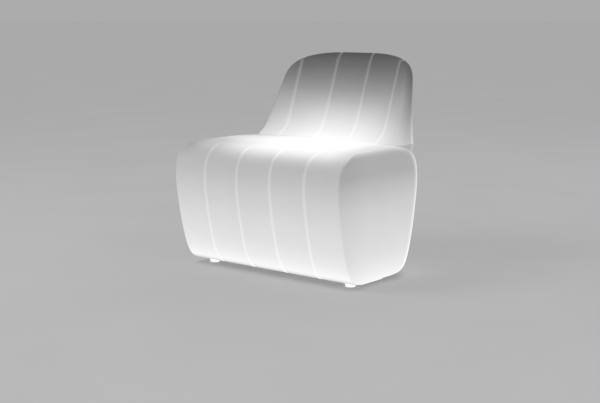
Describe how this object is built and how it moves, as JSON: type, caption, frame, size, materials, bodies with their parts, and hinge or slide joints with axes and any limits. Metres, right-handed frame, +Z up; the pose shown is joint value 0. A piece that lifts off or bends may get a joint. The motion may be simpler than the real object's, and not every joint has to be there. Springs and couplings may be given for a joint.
{
  "type": "light-up outdoor seat",
  "caption": "Low outdoor lounge seat of hollow white translucent plastic, in grooved panels with a short leaning back, lit from inside by a battery lamp",
  "frame": {"origin": "on the floor, in the middle of the seat's outline", "axes": "+X across the seat to its left-hand side as one faces it from the front, the front towards -Y, +Z up"},
  "size_m": [0.7254, 0.5884, 0.741],
  "materials": {
    "lit_plastic": "translucent white, fine satin skin, lit from inside",
    "foot_rubber": "translucent white silicone",
    "steel": "stainless",
    "brass": "knurled",
    "tray_plastic": "fine grained",
    "seal_rubber": "matte",
    "opal_plastic": "opal, satin gloss",
    "clear_plastic": "clear",
    "aluminium": "milled",
    "lamp_board": "white solder resist",
    "lamp_chip": "phosphor",
    "circuit_board": "green solder resist",
    "chip_black": "moulded",
    "cell_sleeve": "shrunk sleeve",
    "nickel": "nickel plated",
    "cap_rubber": "matte",
    "button_plastic": "fine grained",
    "lead_red": "silicone insulation",
    "lead_black": "silicone insulation"
  },
  "bodies": {
    "seat": {"body_shell": "lit_plastic", "foot_front_left": "foot_rubber", "foot_front_right": "foot_rubber", "foot_rear_left": "foot_rubber", "foot_rear_right": "foot_rubber", "foot_washers": "steel", "foot_screws": "steel", "foot_inserts": "brass", "light_tray": "tray_plastic", "tray_gasket": "seal_rubber", "tray_screws": "steel", "tray_inserts": "brass", "diffuser_dome": "opal_plastic", "dome_seal": "seal_rubber", "dome_screws": "steel", "heat_spreader": "aluminium", "spreader_posts": "brass", "led_board": "lamp_board", "led_chips": "lamp_chip", "led_board_screws": "steel", "battery_cells": "cell_sleeve", "battery_holder": "chip_black", "battery_contacts": "nickel", "control_board": "circuit_board", "control_chips": "chip_black", "control_board_screws": "steel", "power_switch": "chip_black", "charge_socket": "chip_black", "socket_pin": "nickel", "cap_hinge_pin": "steel", "status_lens": "clear_plastic", "breather_vent": "chip_black", "lamp_lead": "lead_black", "battery_lead_red": "lead_red", "battery_lead_black": "lead_black"},
    "button": {"power_button": "button_plastic", "switch_plunger": "button_plastic"},
    "cap": {"charge_cap": "cap_rubber"}
  },
  "joints": [
    {"name": "power_button_slide", "type": "slide", "parent": "seat", "child": "button", "axis": [0, 0, 1], "range_m": [0, 0.002], "stiffness_N_per_m": 900, "springref_m": -0.002},
    {"name": "charge_cap_hinge", "type": "hinge", "parent": "seat", "child": "cap", "pos_m": [0.022, -0.07518, 0.032], "axis": [-1, 0, 0], "range_deg": [0, 110]}
  ]
}
